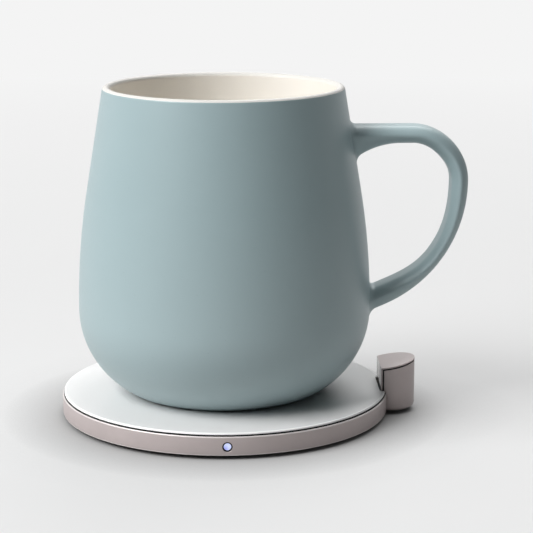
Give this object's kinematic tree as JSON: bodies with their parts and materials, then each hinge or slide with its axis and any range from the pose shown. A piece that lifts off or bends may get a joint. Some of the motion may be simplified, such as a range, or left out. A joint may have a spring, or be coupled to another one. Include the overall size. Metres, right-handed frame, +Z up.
{
  "type": "self-heating mug",
  "caption": "Stoneware mug with a strap handle and a wireless heater in its foot, on a round powered dock with a white plate, a metal rim, an indicator light and a half-round inlet post.",
  "frame": {"origin": "on the table, on the dock's axis, at the middle of the base pad's underside", "axes": "+Z up along the dock's and the mug's axis, +X along the handle and towards the post, -Y towards the indicator"},
  "size_m": [0.1236, 0.1, 0.1006],
  "materials": {
    "blue_glaze": "matte glaze",
    "cream_glaze": "satin glaze",
    "mauve_metal": "fine satin",
    "white_plate": "gloss",
    "black_rubber": "matte",
    "grey_rubber": "matte",
    "red_silicone": "matte",
    "black_plastic": "fine texture",
    "white_plastic": "satin",
    "lit_lens": "clear, lit",
    "copper": "enamelled copper",
    "ferrite": "sintered",
    "green_board": "solder resist",
    "black_parts": "moulded",
    "tan_ceramic": "fired",
    "amber_film": "gloss",
    "felt": "needled felt",
    "red_sleeve": "satin",
    "steel": "brushed"
  },
  "bodies": {
    "mug": {"mug_body": "blue_glaze", "inner_lining": "cream_glaze", "handle": "blue_glaze", "heating_film": "amber_film", "heater_track": "copper", "mug_sensor": "black_parts", "insulation_pad": "felt", "heater_leads": "red_sleeve", "receiver_board": "green_board", "receiver_chip": "black_parts", "rectifier_diodes": "black_parts", "receiver_ferrite": "ferrite", "receiver_coil": "copper", "base_cap": "black_plastic", "base_seal": "red_silicone", "mug_foot_ring": "grey_rubber"},
    "dock": {"top_plate": "white_plate", "plate_gasket": "black_rubber", "rim_ring": "mauve_metal", "bottom_cover": "black_plastic", "base_pad": "grey_rubber", "coil_carrier": "white_plastic", "dock_ferrite": "ferrite", "transmitter_coil": "copper", "plate_sensor": "black_parts", "main_board": "green_board", "control_chip": "black_parts", "power_inductor": "ferrite", "bridge_transistors": "black_parts", "tank_capacitors": "tan_ceramic", "status_light": "white_plastic", "indicator_lens": "lit_lens", "post_housing": "mauve_metal", "post_cover": "black_plastic", "usb_shell": "steel", "usb_tongue": "black_plastic", "inlet_board": "green_board", "power_leads": "red_sleeve", "post_screws": "steel", "cover_screws": "steel"}
  },
  "joints": [
    {"name": "mug_lift", "type": "slide", "parent": "dock", "child": "mug", "axis": [0, 0, 1], "range_m": [0, 0.06]}
  ]
}
